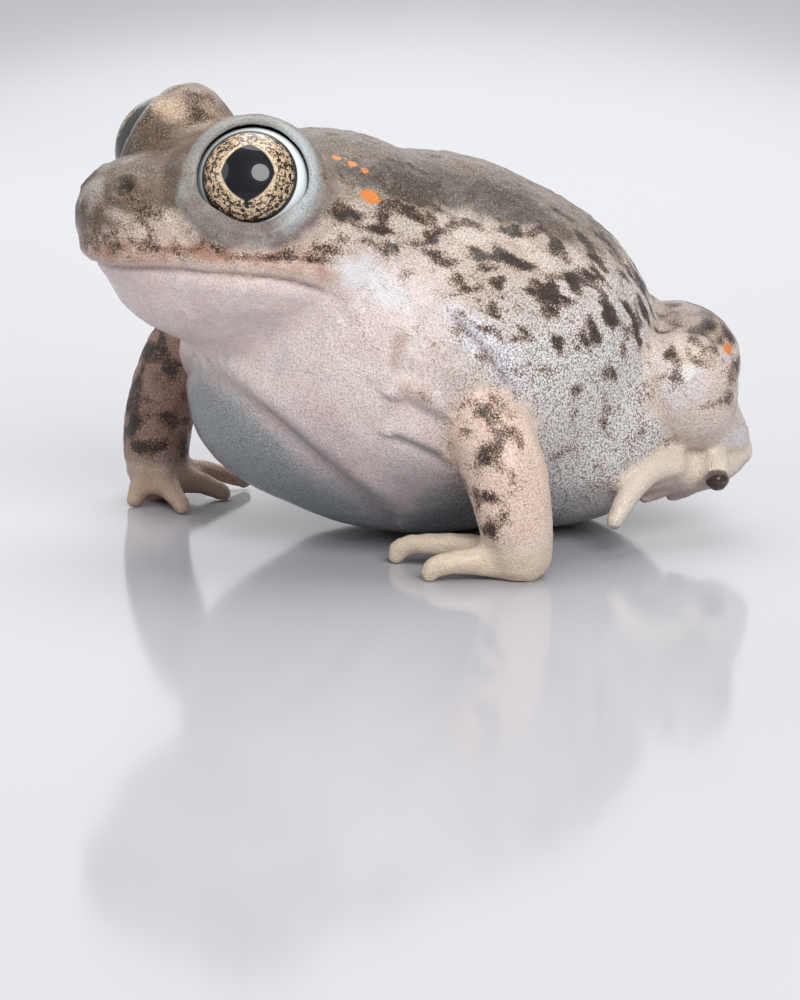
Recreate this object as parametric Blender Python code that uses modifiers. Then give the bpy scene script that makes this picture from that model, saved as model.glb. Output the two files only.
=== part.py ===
# Plains spadefoot toad, life size, puffed up and resting on its belly and hands.
# Lengths are in millimetres until settle_on_origin() makes them metres.
# x is the toad's left, y its rear, z up from the floor.

import math

import bmesh
import bpy
from mathutils import Matrix, Vector

MM = 0.001
GAP = 0.3
FLOOR_TRIM = 40.0
TINY = 0.004

# Fineness of the meshes
BODY_VOXEL = 0.5
HEAD_VOXEL = 0.3
LIMB_VOXEL = 0.26
TORSO_TRIANGLES = 3300
HEAD_TRIANGLES = 3700
JAW_TRIANGLES = 700
PATTERN_TRIANGLES = 5000
ARM_TRIANGLES = 1300
THIGH_TRIANGLES = 400
SHANK_TRIANGLES = 400
FOOT_TRIANGLES = 900

# Rounds of smoothing after each joining of forms
BODY_SMOOTHING = 22
ORBIT_SMOOTHING = 7
RIM_SMOOTHING = 4
LID_SMOOTHING = 2
ARM_SMOOTHING = 3
LEG_SMOOTHING = 4
FOOT_SMOOTHING = 2

# Half width of the thin sheets that part the body, and sides of the plates that part a limb
SHEET_HALF_WIDTH = 22.0
ELBOW_PLATE = 9.0
WRIST_PLATE = 7.0
SPADE_PLATE = 3.0
MIDLINE_PLATE = 80.0

# Trunk: the inflated belly, the chest and seat under it, the rump, the back, and the nape
BELLY_CENTRE = Vector((0, -1.9, 11.1))
BELLY_RADII = Vector((14.1, 14.6, 11.2))
CHEST_CENTRE = Vector((0, -5.5, 8.4))
CHEST_RADII = Vector((11.0, 11.0, 7.0))
SEAT_CENTRE = Vector((0, 4.8, 7.2))
SEAT_RADII = Vector((12.4, 10.0, 7.6))
RUMP_CENTRE = Vector((0, 10.6, 9.4))
RUMP_RADII = Vector((5.4, 5.2, 5.0))
BACK_CENTRE = Vector((0, -2.2, 15.0))
BACK_RADII = Vector((10.4, 10.4, 8.1))
NAPE_CENTRE = Vector((0, -8.6, 18.0))
NAPE_RADII = Vector((9.4, 8.0, 6.8))

# Head: skull, snout, cheeks, throat
SKULL_CENTRE = Vector((0, -13.6, 20.0))
SKULL_RADII = Vector((7.8, 8.4, 5.2))
SNOUT_CENTRE = Vector((0, -18.6, 20.2))
SNOUT_RADII = Vector((5.6, 5.6, 3.95))
CHEEK_CENTRE = Vector((4.4, -13.6, 17.6))
CHEEK_RADII = Vector((5.2, 6.6, 3.6))
THROAT_CENTRE = Vector((0, -13.8, 17.0))
THROAT_RADII = Vector((8.2, 8.1, 4.9))

# Eyes: the ball, the bulge of flesh round it, and the ring of the lids
LEFT_EYE = Vector((4.9, -15.2, 22.4))
RIGHT_EYE = Vector((-5.45, -15.95, 23.1))
EYE_RADIUS = 3.4
EYE_TURN_OUT = 66.0
EYE_TURN_UP = 24.0
ORBIT_RADIUS = 4.3
ORBIT_FRONT = 0.9
ORBIT_FRONT_RADIUS = 4.7
LID_RING_RADIUS = 3.62
LID_THICKNESS = 0.4
LID_FORWARD = 0.9
OPENING_RADIUS = 3.3

# Mouth line and nostrils
MOUTH_LINE = (
    (-27.0, 17.4),
    (-23.0, 17.55),
    (-21.6, 17.75),
    (-20.0, 17.88),
    (-18.0, 17.9),
    (-16.0, 17.75),
    (-14.3, 17.35),
    (-12.8, 16.85),
    (-12.0, 16.55),
)
NECK_LINE = ((-9.3, 30.0), (-12.1, 17.0), (-12.9, 14.4), (-19.0, 9.6))
NOSTRIL = Vector((2.45, -22.3, 22.48))
NOSTRIL_RADIUS = 0.4

# Points inside the parts of the body, and how high one lies in a hand, to name the parts after the cuts
BODY_SEEDS = {"torso": (0, 0, 11), "head": (0, -15, 21), "lower_jaw": (0, -16, 14)}
HAND_SEED_HEIGHT = 0.5

# Lips: how far the skin swells above and below the mouth line, and how tall each swelling is
LIP_START = -11.5
LIP_FADE = 3.0
UPPER_LIP = (0.6, 0.5, 0.30)
LOWER_LIP = (-0.7, 0.45, 0.16)

# Arms, shoulder to wrist, as points and radii. The left one is set further back.
LEFT_ARM = (
    ((8.0, -5.5, 13.0), 3.0),
    ((11.5, -4.2, 10.0), 2.6),
    ((14.1, -3.4, 6.6), 2.5),
    ((14.9, -2.9, 3.2), 2.2),
    ((14.9, -2.6, 1.5), 1.9),
)
RIGHT_ARM = (
    ((-8.0, -8.5, 13.0), 3.0),
    ((-11.4, -12.2, 10.0), 2.5),
    ((-13.2, -13.4, 6.0), 2.25),
    ((-13.7, -13.6, 3.0), 2.1),
    ((-13.5, -13.6, 1.5), 1.8),
)
LEFT_ELBOW = Vector((13.6, -3.6, 8.0))
RIGHT_ELBOW = Vector((-12.6, -13.0, 7.8))
WRIST_HEIGHT = 2.3

# Fingers, from the palm to the tip, as points and radii
LEFT_FINGERS = (
    (((14.6, -3.2, 1.0), 1.1), ((13.9, -6.2, 1.1), 0.75), ((13.5, -7.6, 0.8), 0.62), ((13.4, -7.8, 0.3), 0.5)),
    (((14.2, -2.8, 1.4), 1.1), ((11.2, -5.4, 1.5), 0.75), ((8.9, -7.3, 1.1), 0.62), ((8.6, -7.6, 0.3), 0.5)),
    (((14.0, -2.4, 1.2), 1.1), ((12.0, -2.6, 0.9), 0.75), ((10.3, -3.2, 0.5), 0.6)),
    (((14.4, -2.2, 1.2), 1.1), ((12.6, -1.2, 0.9), 0.75), ((11.3, -0.7, 0.5), 0.6)),
)
RIGHT_FINGERS = (
    (((-13.2, -13.8, 1.4), 1.1), ((-12.4, -15.2, 1.1), 0.75), ((-11.8, -15.9, 0.4), 0.55)),
    (((-12.8, -13.6, 1.4), 1.1), ((-10.6, -13.9, 1.1), 0.75), ((-8.7, -13.9, 0.4), 0.55)),
    (((-12.9, -13.2, 1.4), 1.1), ((-12.1, -11.4, 1.1), 0.75), ((-11.4, -10.0, 0.4), 0.55)),
    (((-13.4, -13.0, 1.4), 1.1), ((-13.9, -10.2, 1.4), 0.7), ((-13.6, -7.6, 0.5), 0.5)),
)

# Left hind leg, folded against the flank and clear of the floor. The right one mirrors it.
THIGH = (
    ((2.6, 9.6, 9.4), 3.8),
    ((4.6, 12.8, 10.2), 3.5),
    ((7.8, 12.5, 10.5), 3.0),
)
KNEE_CENTRE = Vector((9.7, 10.8, 9.3))
KNEE_RADII = Vector((3.0, 3.6, 3.5))
SHANK = (
    ((9.8, 11.2, 8.4), 2.8),
    ((9.5, 13.0, 7.0), 1.9),
    ((9.2, 14.2, 5.9), 1.5),
)
FOOT = (
    ((9.0, 14.5, 5.2), 1.5),
    ((9.2, 13.2, 4.3), 1.4),
    ((9.6, 11.2, 4.1), 1.3),
    ((10.3, 9.4, 4.7), 1.1),
)
TOES = (
    (((10.7, 9.6, 4.9), 1.0), ((11.2, 7.6, 4.6), 0.85), ((12.0, 5.9, 3.4), 0.72), ((12.6, 4.8, 2.2), 0.55)),
    (((10.4, 9.8, 4.3), 0.9), ((10.5, 7.8, 3.9), 0.7), ((10.6, 6.9, 3.3), 0.5)),
    (((10.0, 10.8, 4.0), 0.9), ((9.7, 9.2, 3.2), 0.65), ((9.6, 8.4, 2.8), 0.5)),
    (((9.8, 12.2, 3.8), 0.9), ((9.2, 11.2, 3.0), 0.65), ((9.0, 10.6, 2.6), 0.5)),
)
SPADE_TOE = (
    ((9.8, 12.9, 5.6), 1.0),
    ((10.8, 12.5, 4.9), 0.85),
    ((11.7, 12.2, 4.0), 0.78),
)
SPADE_REACH = 0.75

# Colour and roughness by the first word of the part's name
COLOURS = {
    "torso": ((0.42, 0.36, 0.30), 0.45),
    "head": ((0.36, 0.29, 0.21), 0.45),
    "lower": ((0.66, 0.55, 0.49), 0.45),
    "eye": ((0.45, 0.33, 0.12), 0.12),
    "upper": ((0.52, 0.42, 0.34), 0.45),
    "forearm": ((0.56, 0.45, 0.36), 0.45),
    "hand": ((0.70, 0.58, 0.44), 0.45),
    "thigh": ((0.46, 0.38, 0.31), 0.45),
    "shank": ((0.50, 0.42, 0.35), 0.45),
    "foot": ((0.66, 0.54, 0.42), 0.45),
    "spade": ((0.03, 0.02, 0.015), 0.35),
}


def clear_scene():
    for obj in list(bpy.data.objects):
        bpy.data.objects.remove(obj, do_unlink=True)
    for name in ("spadefoot toad", "cutters"):
        made = bpy.data.collections.new(name)
        bpy.context.scene.collection.children.link(made)


def mesh_object(name, bm, collection="cutters"):
    mesh = bpy.data.meshes.new(name)
    bm.to_mesh(mesh)
    bm.free()
    obj = bpy.data.objects.new(name, mesh)
    bpy.data.collections[collection].objects.link(obj)
    if collection == "cutters":
        obj.hide_render = True
        obj.display_type = "WIRE"
    return obj


def bmesh_of(obj):
    """A bmesh of obj as its modifiers leave it."""
    graph = bpy.context.evaluated_depsgraph_get()
    mesh = bpy.data.meshes.new_from_object(obj.evaluated_get(graph))
    bm = bmesh.new()
    bm.from_mesh(mesh)
    bpy.data.meshes.remove(mesh)
    return bm


def join_into(bm, other):
    """Adds the mesh of other to bm and frees other."""
    mesh = bpy.data.meshes.new("joined")
    other.to_mesh(mesh)
    other.free()
    bm.from_mesh(mesh)
    bpy.data.meshes.remove(mesh)


def add_ellipsoid(bm, centre, radii, segments=40, rings=24):
    place = Matrix.Translation(centre) @ Matrix.Diagonal((*radii, 1))
    ball = bmesh.new()
    bmesh.ops.create_uvsphere(ball, u_segments=segments, v_segments=rings, radius=1.0, matrix=place)
    join_into(bm, ball)


def smooth_path(points, steps=6):
    """Points and radii read from one smooth curve through the given ones."""
    ends = [points[0], *points, points[-1]]
    path = []
    for i in range(1, len(ends) - 2):
        for step in range(steps):
            t = step / steps
            weights = (
                -0.5 * t**3 + t**2 - 0.5 * t,
                1.5 * t**3 - 2.5 * t**2 + 1,
                -1.5 * t**3 + 2 * t**2 + 0.5 * t,
                0.5 * t**3 - 0.5 * t**2,
            )
            four = ends[i - 1 : i + 3]
            centre = sum((w * Vector(p) for w, (p, _) in zip(weights, four)), Vector())
            path.append((centre, sum(w * r for w, (_, r) in zip(weights, four))))
    last_point, last_radius = points[-1]
    path.append((Vector(last_point), last_radius))
    return path


def add_limb(bm, points):
    """A chain of balls along a smooth curve. The remesh in fused() makes it one limb."""
    for centre, radius in smooth_path(points):
        add_ellipsoid(bm, centre, (radius,) * 3, segments=20, rings=12)


def apply_modifiers(obj):
    bm = bmesh_of(obj)
    obj.modifiers.clear()
    bm.to_mesh(obj.data)
    bm.free()
    return obj


def fused(name, bm, voxel, smoothing):
    """The overlapping closed forms in bm as one smooth skin."""
    obj = mesh_object(name, bm)
    remesh = obj.modifiers.new("one skin", "REMESH")
    remesh.mode = "VOXEL"
    remesh.voxel_size = voxel
    soften = obj.modifiers.new("soften", "SMOOTH")
    soften.factor = 0.5
    soften.iterations = smoothing
    return apply_modifiers(obj)


def weld_tiny(bm):
    """Takes out the slivers that a cut leaves, and makes every face a triangle."""
    bmesh.ops.triangulate(bm, faces=bm.faces)
    bmesh.ops.remove_doubles(bm, verts=bm.verts, dist=TINY)
    bmesh.ops.dissolve_degenerate(bm, edges=bm.edges, dist=TINY)
    bmesh.ops.triangulate(bm, faces=bm.faces)


def is_closed(bm):
    return all(len(edge.link_faces) == 2 for edge in bm.edges)


def reduce_to(obj, triangles):
    """Collapses obj to about so many triangles, or a few more where that would open its surface."""
    bm = bmesh_of(obj)
    weld_tiny(bm)
    bm.to_mesh(obj.data)
    bm.free()
    while True:
        thin = obj.modifiers.new("fewer", "DECIMATE")
        thin.ratio = min(1.0, triangles / len(obj.data.polygons))
        thin.use_collapse_triangulate = True
        fewer = bmesh_of(obj)
        obj.modifiers.clear()
        weld_tiny(fewer)
        if is_closed(fewer) or triangles > len(obj.data.polygons):
            fewer.to_mesh(obj.data)
            fewer.free()
            return obj
        fewer.free()
        triangles = int(triangles * 1.05) + 1


def grown(obj, distance):
    """A copy of obj with its surface moved out, to cut a neighbour back by the gap."""
    copy = mesh_object(obj.name + " grown", bmesh_of(obj))
    push = copy.modifiers.new("push", "DISPLACE")
    push.mid_level = 0.0
    push.strength = distance
    return apply_modifiers(copy)


def cut(obj, cutter):
    boolean = obj.modifiers.new("cut", "BOOLEAN")
    boolean.operation = "DIFFERENCE"
    boolean.solver = "EXACT"
    boolean.object = cutter
    return apply_modifiers(obj)


def floor_block():
    """Everything below the floor."""
    bm = bmesh.new()
    side = FLOOR_TRIM * 2
    place = Matrix.Translation((0, 0, -side / 2)) @ Matrix.Diagonal((side, side, side, 1))
    bmesh.ops.create_cube(bm, size=1.0, matrix=place)
    return mesh_object("below the floor", bm)


def bent_sheet(name, outline, half_width, thickness=GAP):
    """A thin upright sheet over a line of (y, z) points, as wide as the body."""
    bm = bmesh.new()
    rows = []
    for y, z in outline:
        rows.append((bm.verts.new((-half_width, y, z)), bm.verts.new((half_width, y, z))))
    for (a, b), (c, d) in zip(rows, rows[1:]):
        bm.faces.new((a, b, d, c))
    obj = mesh_object(name, bm)
    thicken = obj.modifiers.new("thicken", "SOLIDIFY")
    thicken.thickness = thickness
    thicken.offset = 0.0
    thicken.use_even_offset = True
    apply_modifiers(obj)
    bm = bmesh_of(obj)
    bmesh.ops.recalc_face_normals(bm, faces=bm.faces)
    bm.to_mesh(obj.data)
    bm.free()
    return obj


def slab(name, centre, normal, side, thickness=GAP):
    """A thin square plate across a limb."""
    turn = Vector(normal).to_track_quat("Z", "Y").to_matrix().to_4x4()
    bm = bmesh.new()
    size = Matrix.Diagonal((side, side, thickness, 1))
    bmesh.ops.create_cube(bm, size=1.0, matrix=Matrix.Translation(centre) @ turn @ size)
    return mesh_object(name, bm)


def islands(obj):
    """The separate closed surfaces of obj, largest first, each as a bmesh."""
    bm = bmesh_of(obj)
    bm.faces.ensure_lookup_table()
    seen = set()
    groups = []
    for face in bm.faces:
        if face.index in seen:
            continue
        group = []
        waiting = [face]
        seen.add(face.index)
        while waiting:
            now = waiting.pop()
            group.append(now.index)
            for edge in now.edges:
                for other in edge.link_faces:
                    if other.index not in seen:
                        seen.add(other.index)
                        waiting.append(other)
        groups.append(set(group))
    found = []
    for group in sorted(groups, key=len, reverse=True):
        piece = bm.copy()
        piece.faces.ensure_lookup_table()
        extra = [f for f in piece.faces if f.index not in group]
        bmesh.ops.delete(piece, geom=extra, context="FACES")
        found.append(piece)
    bm.free()
    return found


def middle(bm):
    return sum((v.co for v in bm.verts), Vector()) / len(bm.verts)


def keep_parts(obj, seeds):
    """Splits obj into its closed surfaces and names each by the seed point nearest to it."""
    parts = {}
    for piece in islands(obj):
        centre = middle(piece)
        name = min(seeds, key=lambda n: (Vector(seeds[n]) - centre).length)
        if name in parts:
            piece.free()
        else:
            parts[name] = mesh_object(name, piece, "spadefoot toad")
    bpy.data.objects.remove(obj)
    return parts


def eye_axis(side):
    out, up = math.radians(EYE_TURN_OUT), math.radians(EYE_TURN_UP)
    return Vector((side * math.sin(out) * math.cos(up), -math.cos(out) * math.cos(up), math.sin(up)))


def eye_centre(side):
    return LEFT_EYE if side > 0 else RIGHT_EYE


def mirrored(point, side):
    return Vector((point.x * side, point.y, point.z))


def limb_mesh(chains, extra=()):
    bm = bmesh.new()
    for chain in chains:
        add_limb(bm, chain)
    for centre, radii in extra:
        add_ellipsoid(bm, centre, radii, segments=24, rings=16)
    return bm


def flip(points):
    """The same chain of points on the toad's right side."""
    return tuple(((-x, y, z), radius) for (x, y, z), radius in points)


def eye_cylinder(name, side, radius, start):
    """A cylinder along the line of sight, from start in front of the eye's centre outwards."""
    depth = ORBIT_RADIUS * 2
    turn = eye_axis(side).to_track_quat("Z", "Y").to_matrix().to_4x4()
    place = Matrix.Translation(eye_centre(side) + eye_axis(side) * (start + depth / 2)) @ turn
    bm = bmesh.new()
    bmesh.ops.create_cone(
        bm, cap_ends=True, segments=56, radius1=radius, radius2=radius, depth=depth, matrix=place
    )
    return mesh_object(name, bm)


def lid_ring(bm, side):
    """The ring of the lids: a small circle spun round the line of sight."""
    axis = eye_axis(side)
    turn = axis.to_track_quat("Z", "Y").to_matrix().to_4x4()
    place = Matrix.Translation(eye_centre(side) + axis * LID_FORWARD) @ turn
    ring = bmesh.new()
    start = Matrix.Translation((LID_RING_RADIUS, 0, 0)) @ Matrix.Rotation(math.pi / 2, 4, "X")
    made = bmesh.ops.create_circle(ring, segments=12, radius=LID_THICKNESS, matrix=start)
    spun = made["verts"] + list({e for v in made["verts"] for e in v.link_edges})
    bmesh.ops.spin(ring, geom=spun, cent=(0, 0, 0), axis=(0, 0, 1), angle=math.tau, steps=40, use_merge=True)
    bmesh.ops.remove_doubles(ring, verts=ring.verts, dist=TINY)
    bmesh.ops.recalc_face_normals(ring, faces=ring.faces)
    ring.transform(place)
    join_into(bm, ring)


def body_and_head():
    bm = bmesh.new()
    for centre, radii in (
        (BELLY_CENTRE, BELLY_RADII),
        (CHEST_CENTRE, CHEST_RADII),
        (SEAT_CENTRE, SEAT_RADII),
        (BACK_CENTRE, BACK_RADII),
        (RUMP_CENTRE, RUMP_RADII),
        (NAPE_CENTRE, NAPE_RADII),
        (SKULL_CENTRE, SKULL_RADII),
        (SNOUT_CENTRE, SNOUT_RADII),
        (THROAT_CENTRE, THROAT_RADII),
        (CHEEK_CENTRE, CHEEK_RADII),
        (mirrored(CHEEK_CENTRE, -1), CHEEK_RADII),
    ):
        add_ellipsoid(bm, centre, radii)
    body = fused("body forms", bm, BODY_VOXEL, BODY_SMOOTHING)
    bm = bmesh.new()
    for side in (1, -1):
        add_ellipsoid(bm, eye_centre(side), (ORBIT_RADIUS,) * 3)
    bm.from_mesh(body.data)
    body = fused("body forms with orbits", bm, HEAD_VOXEL, ORBIT_SMOOTHING)
    for side in (1, -1):
        cut(body, eye_cylinder("orbit front", side, ORBIT_FRONT_RADIUS, ORBIT_FRONT))
    body = fused("body with open orbits", bmesh_of(body), HEAD_VOXEL, RIM_SMOOTHING)
    bm = bmesh.new()
    for side in (1, -1):
        lid_ring(bm, side)
    bm.from_mesh(body.data)
    return swell_lips(fused("body", bm, HEAD_VOXEL, LID_SMOOTHING))


def mouth_height(y):
    """How high the mouth line is at y."""
    for (y0, z0), (y1, z1) in zip(MOUTH_LINE, MOUTH_LINE[1:]):
        if y < y1:
            return z0 + (y - y0) / (y1 - y0) * (z1 - z0)
    return MOUTH_LINE[-1][1]


def swell_lips(obj):
    """Raises a soft ridge of skin above and below the mouth line."""
    bm = bmesh_of(obj)
    bm.normal_update()
    moves = []
    for vert in bm.verts:
        fade = min(1.0, max(0.0, (LIP_START - vert.co.y) / LIP_FADE))
        above = vert.co.z - mouth_height(vert.co.y)
        push = 0.0
        for middle_height, half_height, swelling in (UPPER_LIP, LOWER_LIP):
            push += swelling * math.exp(-(((above - middle_height) / half_height) ** 2))
        moves.append(vert.normal * push * fade)
    for vert, move in zip(bm.verts, moves):
        vert.co += move
    bm.to_mesh(obj.data)
    bm.free()
    return obj


def open_eyes_and_nostrils(body):
    for side in (1, -1):
        eye = eye_centre(side)
        bm = bmesh.new()
        add_ellipsoid(bm, eye, (EYE_RADIUS + GAP,) * 3, segments=48, rings=32)
        cut(body, mesh_object("socket", bm))
        cut(body, eye_cylinder("opening", side, OPENING_RADIUS, 0.0))
        bm = bmesh.new()
        add_ellipsoid(bm, mirrored(NOSTRIL, side), (NOSTRIL_RADIUS,) * 3, segments=10, rings=6)
        cut(body, mesh_object("nostril", bm))
    return body


def make_arm(side, word, chain, fingers, elbow, bodies):
    arm = fused("arm " + word, limb_mesh((chain, *fingers)), LIMB_VOXEL, ARM_SMOOTHING)
    reduce_to(arm, ARM_TRIANGLES)
    for blocker in bodies:
        cut(arm, blocker)
    along = Vector(chain[2][0]) - Vector(chain[1][0])
    cut(arm, slab("elbow cut", elbow, along, ELBOW_PLATE))
    wrist = Vector((chain[-1][0][0], chain[-1][0][1], WRIST_HEIGHT))
    cut(arm, slab("wrist cut", wrist, (0, 0, 1), WRIST_PLATE))
    shoulder = Vector(chain[1][0])
    middle_of_forearm = (elbow + wrist) / 2
    hand = Vector((chain[-1][0][0], chain[-1][0][1], HAND_SEED_HEIGHT))
    seeds = {"upper_arm_" + word: shoulder, "forearm_" + word: middle_of_forearm, "hand_" + word: hand}
    keep_parts(arm, seeds)


def make_leg(side, word, bodies):
    turn = (lambda points: points) if side > 0 else flip
    thigh = fused("thigh " + word, limb_mesh((turn(THIGH),)), LIMB_VOXEL, LEG_SMOOTHING)
    reduce_to(thigh, THIGH_TRIANGLES)
    for blocker in bodies:
        cut(thigh, blocker)
    cut(thigh, slab("between the thighs", (0, 0, 0), (1, 0, 0), MIDLINE_PLATE))
    knee = (mirrored(KNEE_CENTRE, side), KNEE_RADII)
    shank = fused("shank " + word, limb_mesh((turn(SHANK),), (knee,)), LIMB_VOXEL, LEG_SMOOTHING)
    reduce_to(shank, SHANK_TRIANGLES)
    foot_chains = [turn(FOOT), *(turn(toe) for toe in TOES), turn(SPADE_TOE)]
    foot = fused("foot " + word, limb_mesh(foot_chains), LIMB_VOXEL, FOOT_SMOOTHING)
    reduce_to(foot, FOOT_TRIANGLES)
    for blocker in (*bodies, grown(thigh, GAP)):
        cut(shank, blocker)
    for blocker in (*bodies, grown(thigh, GAP), grown(shank, GAP)):
        cut(foot, blocker)
    tip = Vector(turn(SPADE_TOE)[2][0])
    before = Vector(turn(SPADE_TOE)[1][0])
    along = (tip - before).normalized()
    cut(foot, slab("spade cut", tip - along * (SPADE_REACH - SPADE_TOE[2][1]), along, SPADE_PLATE))
    keep_parts(thigh, {"thigh_" + word: (0, 0, 0)})
    keep_parts(shank, {"shank_" + word: (0, 0, 0)})
    keep_parts(foot, {"foot_" + word: Vector(turn(TOES[1])[0][0]), "spade_" + word: tip + along * 0.5})


def build():
    clear_scene()
    floor = floor_block()
    body = cut(body_and_head(), floor)
    pattern = mesh_object("body pattern", bmesh_of(body))
    around_body = grown(reduce_to(pattern, PATTERN_TRIANGLES), GAP)
    open_eyes_and_nostrils(body)
    cut(body, bent_sheet("neck cut", NECK_LINE, SHEET_HALF_WIDTH))
    cut(body, bent_sheet("mouth cut", MOUTH_LINE, SHEET_HALF_WIDTH))
    parts = keep_parts(body, BODY_SEEDS)
    reduce_to(parts["torso"], TORSO_TRIANGLES)
    reduce_to(parts["head"], HEAD_TRIANGLES)
    reduce_to(parts["lower_jaw"], JAW_TRIANGLES)
    for side, word in ((1, "left"), (-1, "right")):
        bm = bmesh.new()
        add_ellipsoid(bm, eye_centre(side), (EYE_RADIUS,) * 3, segments=22, rings=14)
        mesh_object("eye_" + word, bm, "spadefoot toad")
        make_leg(side, word, (around_body,))
    make_arm(1, "left", LEFT_ARM, LEFT_FINGERS, LEFT_ELBOW, (around_body, floor))
    make_arm(-1, "right", RIGHT_ARM, RIGHT_FINGERS, RIGHT_ELBOW, (around_body, floor))


def colour_parts():
    for obj in bpy.data.collections["spadefoot toad"].objects:
        kind = next(k for k in COLOURS if obj.name.startswith(k))
        colour, roughness = COLOURS[kind]
        material = bpy.data.materials.new(obj.name)
        material.use_nodes = True
        shader = material.node_tree.nodes["Principled BSDF"]
        shader.inputs["Base Color"].default_value = (*colour, 1)
        shader.inputs["Roughness"].default_value = roughness
        shader.inputs["Metallic"].default_value = 0.0
        obj.data.materials.append(material)
        obj.data.shade_smooth()


def settle_on_origin():
    """Puts the middle of the footprint of the whole toad at the origin, in metres."""
    parts = bpy.data.collections["spadefoot toad"].objects
    corners = [v.co for obj in parts for v in obj.data.vertices]
    middle_x = (min(c.x for c in corners) + max(c.x for c in corners)) / 2
    middle_y = (min(c.y for c in corners) + max(c.y for c in corners)) / 2
    move = Matrix.Scale(MM, 4) @ Matrix.Translation((-middle_x, -middle_y, 0))
    for obj in parts:
        obj.data.transform(move)
    print("footprint middle", round(middle_x, 3), round(middle_y, 3))


build()
colour_parts()
settle_on_origin()
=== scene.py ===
import math

import bmesh
import bpy
import numpy as np
from mathutils import Matrix, Vector, kdtree, noise


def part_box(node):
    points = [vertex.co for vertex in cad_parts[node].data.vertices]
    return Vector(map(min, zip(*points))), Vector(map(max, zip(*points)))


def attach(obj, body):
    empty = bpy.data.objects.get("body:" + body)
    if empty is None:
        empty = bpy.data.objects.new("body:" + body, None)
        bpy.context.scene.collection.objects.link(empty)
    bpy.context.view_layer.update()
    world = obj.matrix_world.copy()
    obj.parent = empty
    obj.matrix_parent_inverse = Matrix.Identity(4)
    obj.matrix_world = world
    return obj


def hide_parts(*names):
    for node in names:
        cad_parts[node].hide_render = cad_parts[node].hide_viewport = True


mm = 0.001
sameSpot = 0.001 * mm
sides = ((1, "left"), (-1, "right"))
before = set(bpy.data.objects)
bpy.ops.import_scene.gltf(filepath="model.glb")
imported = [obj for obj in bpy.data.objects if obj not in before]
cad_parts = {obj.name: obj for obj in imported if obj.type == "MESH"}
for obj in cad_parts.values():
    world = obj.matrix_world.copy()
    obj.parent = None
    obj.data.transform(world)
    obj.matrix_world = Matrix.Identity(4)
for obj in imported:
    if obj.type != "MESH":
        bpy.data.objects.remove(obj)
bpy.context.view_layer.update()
print("frame loaded")


# the view: where the toad is seen from, in degrees and metres
viewPlan = dict(
    target=Vector((-7.566, 3.833, 0)) * mm,
    azimuth=64.5,
    elevation=12.5,
    roll=0.36,
    distance=300.7 * mm,
    lens=173.2,
    sensor=36,
    width=800,
    height=1000,
    clip=(0.01, 20),
)


def viewAxes():
    azimuth, elevation, roll = (math.radians(viewPlan[k]) for k in ("azimuth", "elevation", "roll"))
    level = math.cos(elevation)
    back = Vector((math.sin(azimuth) * level, -math.cos(azimuth) * level, math.sin(elevation)))
    right = Vector((math.cos(azimuth), math.sin(azimuth), 0))
    up = back.cross(right)
    turnedRight = right * math.cos(roll) + up * math.sin(roll)
    turnedUp = up * math.cos(roll) - right * math.sin(roll)
    return turnedRight, turnedUp, back


def makeCamera():
    right, up, back = viewAxes()
    data = bpy.data.cameras.new("camera")
    data.sensor_width = viewPlan["sensor"]
    data.lens = viewPlan["lens"]
    data.clip_start, data.clip_end = viewPlan["clip"]
    camera = bpy.data.objects.new("camera", data)
    place = Matrix((right, up, back)).transposed().to_4x4()
    place.translation = viewPlan["target"] + back * viewPlan["distance"]
    camera.matrix_world = place
    bpy.context.scene.collection.objects.link(camera)
    bpy.context.scene.camera = camera


makeCamera()


# plain helpers on meshes
def meshObject(name, bm):
    mesh = bpy.data.meshes.new(name)
    bm.to_mesh(mesh)
    bm.free()
    obj = bpy.data.objects.new(name, mesh)
    bpy.context.scene.collection.objects.link(obj)
    return obj


def joinInto(bm, other):
    mesh = bpy.data.meshes.new("joined")
    other.to_mesh(mesh)
    other.free()
    bm.from_mesh(mesh)
    bpy.data.meshes.remove(mesh)


def bakeModifiers(obj):
    graph = bpy.context.evaluated_depsgraph_get()
    mesh = bpy.data.meshes.new_from_object(obj.evaluated_get(graph))
    obj.modifiers.clear()
    old = obj.data
    obj.data = mesh
    bpy.data.meshes.remove(old)


def pointsOf(obj):
    points = np.empty(len(obj.data.vertices) * 3)
    obj.data.vertices.foreach_get("co", points)
    return points.reshape(-1, 3)


def normalsOf(obj):
    normals = np.empty(len(obj.data.vertices) * 3)
    obj.data.vertex_normals.foreach_get("vector", normals)
    return normals.reshape(-1, 3)


def setPoints(obj, points):
    obj.data.vertices.foreach_set("co", points.ravel())
    obj.data.update()


def ramp(values, low, high):
    t = np.clip((values - low) / (high - low), 0, 1)
    return t * t * (3 - 2 * t)


def lengths(rows):
    return np.linalg.norm(rows, axis=1)


def bell(distance, width):
    return np.exp(-((distance / width) ** 2))


# eyes: the orbit's axis leans out and up from the head, the gaze a little further forward
eyePlan = dict(
    turnOut=66.0,
    gazeOut=60.5,
    turnUp=24.0,
    lidRing=3.55,
    lidThickness=0.30,
    lidForward=1.0,
    lidSegments=16,
    lidSteps=64,
    ballSegments=96,
    ballRings=64,
    irisRadius=2.72,
    pupilWidth=1.52,
    pupilHeight=1.66,
)


def outAndUp(out, up, side):
    out, up = math.radians(out), math.radians(up)
    return Vector((side * math.sin(out) * math.cos(up), -math.cos(out) * math.cos(up), math.sin(up)))


def eyeCentre(word):
    low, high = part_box("eye_" + word)
    return (low + high) / 2


def eyeRadius(word):
    low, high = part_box("eye_" + word)
    return (high.z - low.z) / 2


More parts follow.
